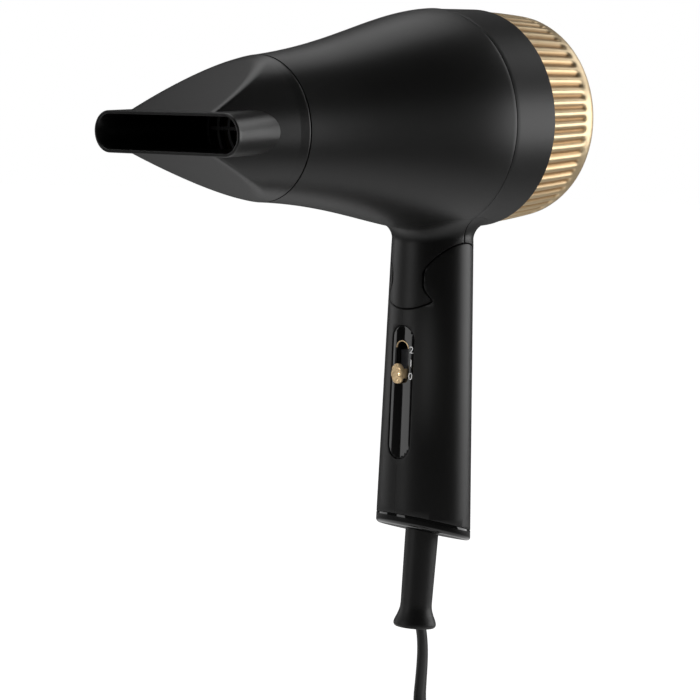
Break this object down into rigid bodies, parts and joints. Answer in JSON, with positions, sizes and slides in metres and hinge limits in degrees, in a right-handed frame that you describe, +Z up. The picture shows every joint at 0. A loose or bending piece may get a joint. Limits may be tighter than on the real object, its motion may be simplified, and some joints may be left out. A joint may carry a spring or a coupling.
{
  "type": "folding travel hair dryer",
  "caption": "Folding travel hair dryer with a flared flat concentrator nozzle, ribbed twist-off rear cover, front slide switch, hinged handle and a coiled mains lead with its plug.",
  "frame": {"origin": "middle of the grip, on the handle's axis", "axes": "+Z up along the handle; -X the way the air blows (the nozzle); +X the rear cover; +Y the right side of the person who holds it"},
  "size_m": [0.1909, 0.1002, 0.298],
  "materials": {
    "satin_black": "soft satin black moulding",
    "nozzle_black": "satin black heat-proof nylon",
    "gloss_black": "polished black moulding",
    "gold": "metallised pale gold moulding, satin",
    "dark_nylon": "dark glass-filled nylon",
    "steel": "zinc-plated steel",
    "spring_brass": "spring brass sheet",
    "flex_black": "soft black PVC, satin",
    "tie_fabric": "black hook-and-loop strap",
    "nickel": "nickel-plated plug pins",
    "mica": "pressed mica sheet",
    "heater_wire": "coiled resistance wire",
    "board_green": "circuit board laminate",
    "wire_sleeve": "silicone wire sleeve",
    "mesh_steel": "fine woven wire mesh"
  },
  "bodies": {
    "handle": {"handle_shell_left": "satin_black", "handle_shell_right": "satin_black", "handle_screws": "steel", "switch_panel": "gloss_black", "end_cap": "gloss_black", "switch_block": "dark_nylon", "cord_clamp": "dark_nylon", "clamp_screws": "steel", "handle_leads": "wire_sleeve", "strain_relief": "flex_black", "hinge_pin": "steel", "hinge_washers": "spring_brass", "cord": "flex_black", "cord_coil": "flex_black", "cord_tie": "tie_fabric", "cord_tail": "flex_black", "plug_body": "flex_black", "plug_pins": "nickel"},
    "slider": {"slider_knob": "gold", "slider_carrier": "dark_nylon"},
    "barrel": {"front_casing": "satin_black", "rear_casing": "satin_black", "outlet_grille": "dark_nylon", "mica_sleeve": "mica", "mica_boards": "mica", "heater_coils": "heater_wire", "thermostat": "spring_brass", "thermal_fuse": "steel", "fan_housing": "dark_nylon", "motor_can": "steel", "casing_screws": "steel", "rectifier_board": "board_green", "barrel_leads": "wire_sleeve"},
    "rotor": {"motor_shaft": "steel", "impeller": "dark_nylon"},
    "nozzle": {"nozzle": "nozzle_black"},
    "cover": {"cover_ring": "gold", "intake_guard": "dark_nylon", "dust_mesh": "mesh_steel"}
  },
  "joints": [
    {"name": "fold", "type": "hinge", "parent": "handle", "child": "barrel", "pos_m": [0.0007, 0, 0.0535], "axis": [0, 1, 0], "range_deg": [0, 90]},
    {"name": "switch_slide", "type": "slide", "parent": "handle", "child": "slider", "axis": [0, 0, 1], "range_m": [0, 0.0094]},
    {"name": "fan_spin", "type": "hinge", "parent": "barrel", "child": "rotor", "pos_m": [0.00998, 0, 0.11058], "axis": [0.9983, 0, 0.0576], "continuous": true},
    {"name": "nozzle_turn", "type": "hinge", "parent": "barrel", "child": "nozzle", "pos_m": [-0.09484, 0, 0.10453], "axis": [0.9983, 0, 0.0576], "continuous": true},
    {"name": "cover_twist", "type": "hinge", "parent": "barrel", "child": "cover", "pos_m": [0.02995, 0, 0.11173], "axis": [0.9983, 0, 0.0576], "range_deg": [0, 18]}
  ]
}
